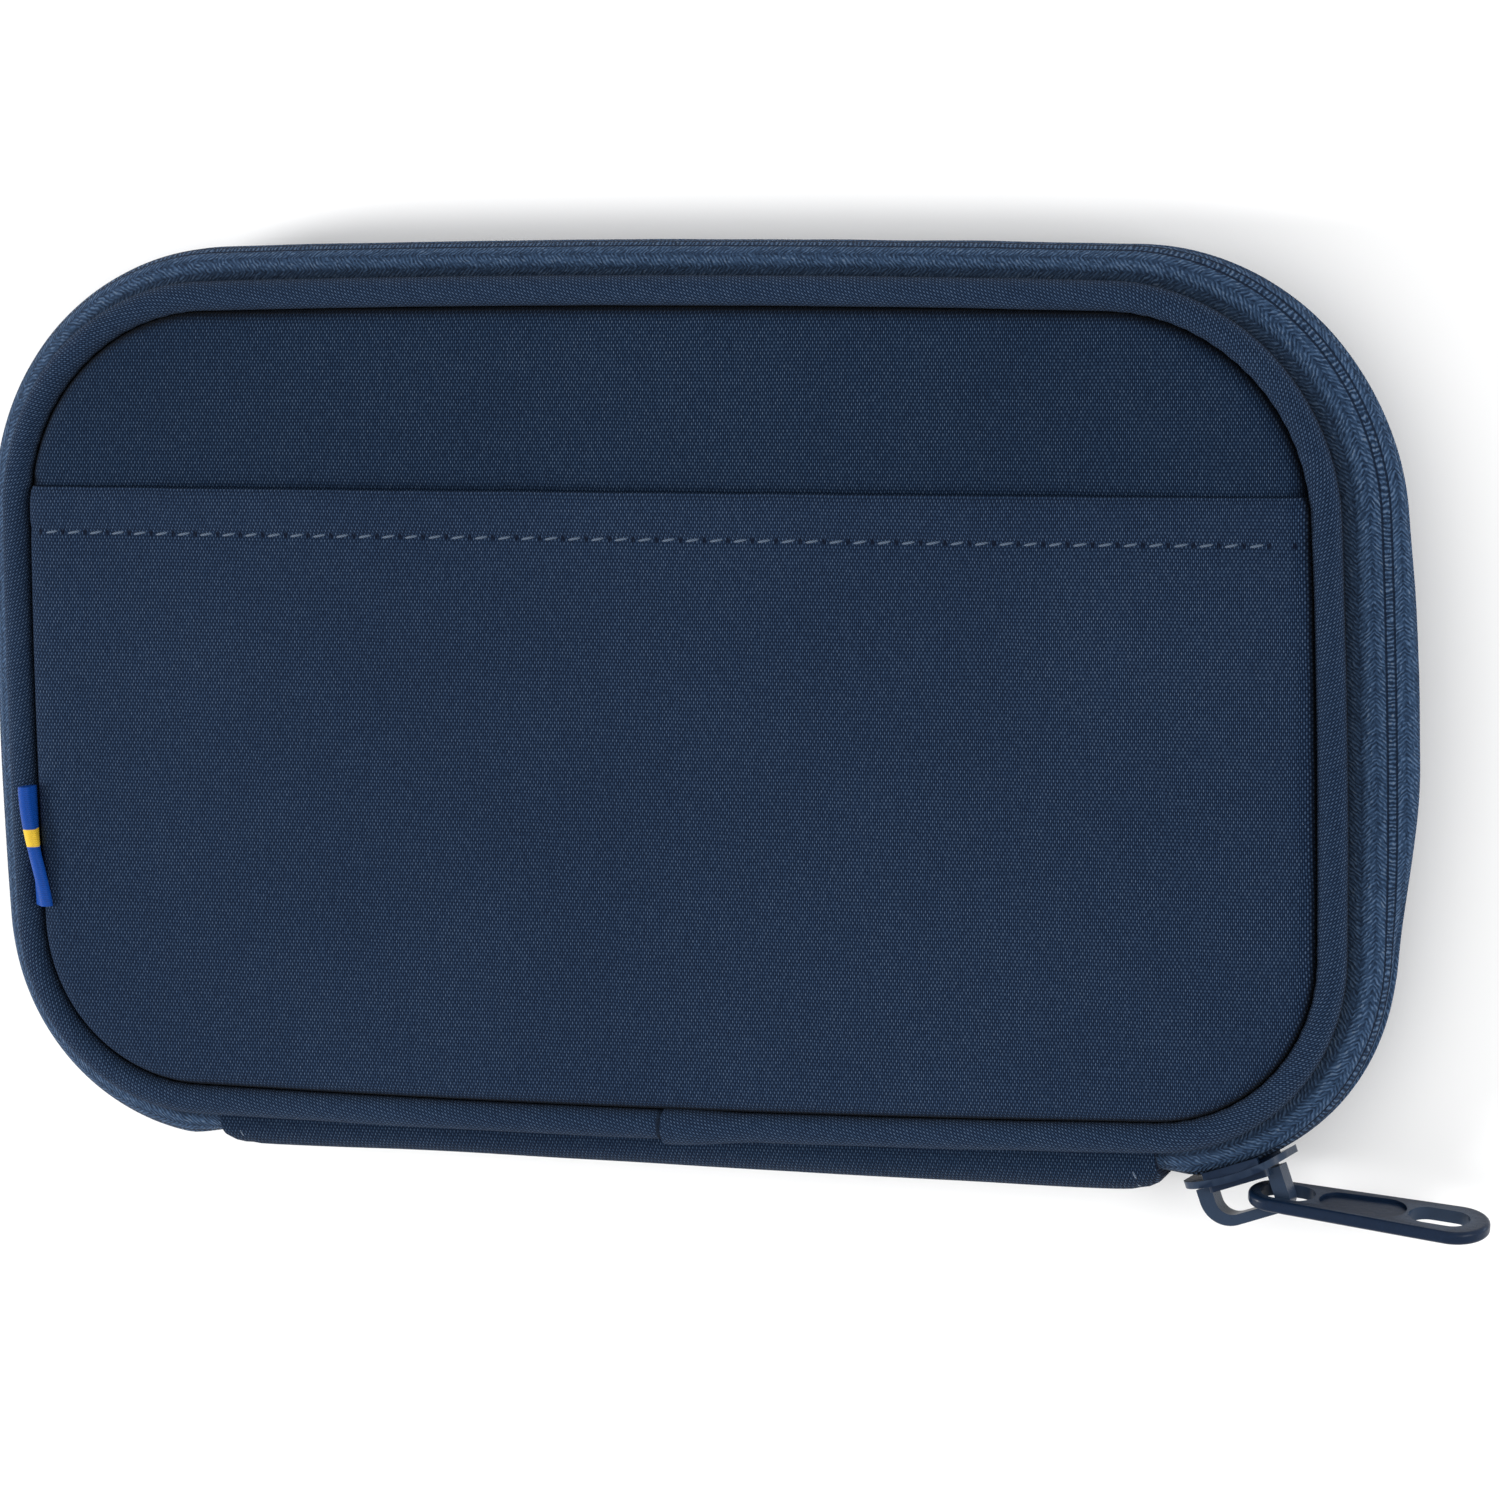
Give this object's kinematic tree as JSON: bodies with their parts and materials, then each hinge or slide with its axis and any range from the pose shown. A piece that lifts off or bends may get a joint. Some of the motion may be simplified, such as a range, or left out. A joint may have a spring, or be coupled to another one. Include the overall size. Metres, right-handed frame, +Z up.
{
  "type": "passport holder wallet",
  "caption": "Zip-around cloth travel wallet with two padded covers, a folding spine, a slip pocket, card and passport pockets and a zip slider with a pull tab",
  "frame": {"origin": "middle of the back cover's flat outer face, which the wallet lies on", "axes": "+X along the long side, +Y from the spine edge to the opening edge, +Z up out of the front cover"},
  "size_m": [0.2137, 0.1318, 0.0232],
  "materials": {
    "canvas": "matte",
    "piping_canvas": "matte",
    "zip_tape": "matte",
    "zip_coil": "satin",
    "lining": "matte",
    "binding": "matte",
    "thread": "satin",
    "label": "satin",
    "foam": "matte",
    "board": "matte",
    "cord_filler": "matte",
    "painted_zip_metal": "satin"
  },
  "bodies": {
    "back_cover": {"back_panel": "canvas", "back_foam": "foam", "back_stiffener": "board", "back_lining": "lining", "back_piping": "piping_canvas", "back_piping_cord": "cord_filler", "back_edge_binding": "binding", "back_zip_tape": "zip_tape", "back_zip_coil": "zip_coil", "back_zip_stops": "painted_zip_metal", "zip_pocket_lower_cloth": "lining", "zip_pocket_upper_cloth": "lining", "zip_pocket_tapes": "zip_tape", "zip_pocket_coils": "zip_coil", "zip_pocket_stops": "painted_zip_metal", "passport_pocket": "lining"},
    "spine": {"spine_panel": "canvas", "spine_lining": "lining"},
    "front_cover": {"front_panel": "canvas", "front_foam": "foam", "front_stiffener": "board", "front_lining": "lining", "front_slip_pocket": "canvas", "front_hem_thread": "thread", "front_piping": "piping_canvas", "front_piping_cord": "cord_filler", "front_edge_binding": "binding", "front_zip_tape": "zip_tape", "front_zip_coil": "zip_coil", "front_zip_stop": "painted_zip_metal", "label_tab": "label", "card_row_1": "lining", "card_row_2": "lining", "card_row_3": "lining"},
    "slider": {"slider_body": "painted_zip_metal", "slider_crown": "painted_zip_metal"},
    "pull_tab": {"pull_tab": "painted_zip_metal"},
    "pocket_slider": {"zip_pocket_slider": "painted_zip_metal"},
    "pocket_pull": {"zip_pocket_pull": "painted_zip_metal"}
  },
  "joints": [
    {"name": "back_fold", "type": "hinge", "parent": "back_cover", "child": "spine", "pos_m": [0, -0.0615, 0.003], "axis": [1, 0, 0], "range_deg": [0, 90]},
    {"name": "front_fold", "type": "hinge", "parent": "spine", "child": "front_cover", "pos_m": [0, -0.0615, 0.017], "axis": [1, 0, 0], "range_deg": [0, 90]},
    {"name": "slider_travel", "type": "hinge", "parent": "back_cover", "child": "slider", "pos_m": [0.06918, -0.03063, 0.01], "axis": [0, 0, 1], "range_deg": [0, 58]},
    {"name": "pull_tab_swing", "type": "hinge", "parent": "slider", "child": "pull_tab", "pos_m": [0.08084, -0.06391, 0.01], "axis": [0, 0, 1], "range_deg": [-45, 20]},
    {"name": "pocket_slider_travel", "type": "slide", "parent": "back_cover", "child": "pocket_slider", "axis": [1, 0, 0], "range_m": [0, 0.148]},
    {"name": "pocket_pull_swing", "type": "hinge", "parent": "pocket_slider", "child": "pocket_pull", "pos_m": [-0.07373, 0.031, 0.00693], "axis": [0, -1, 0], "range_deg": [0, 40]}
  ],
  "couplings": [
    {"joint": "front_fold", "follows": "back_fold", "ratio": 1}
  ]
}
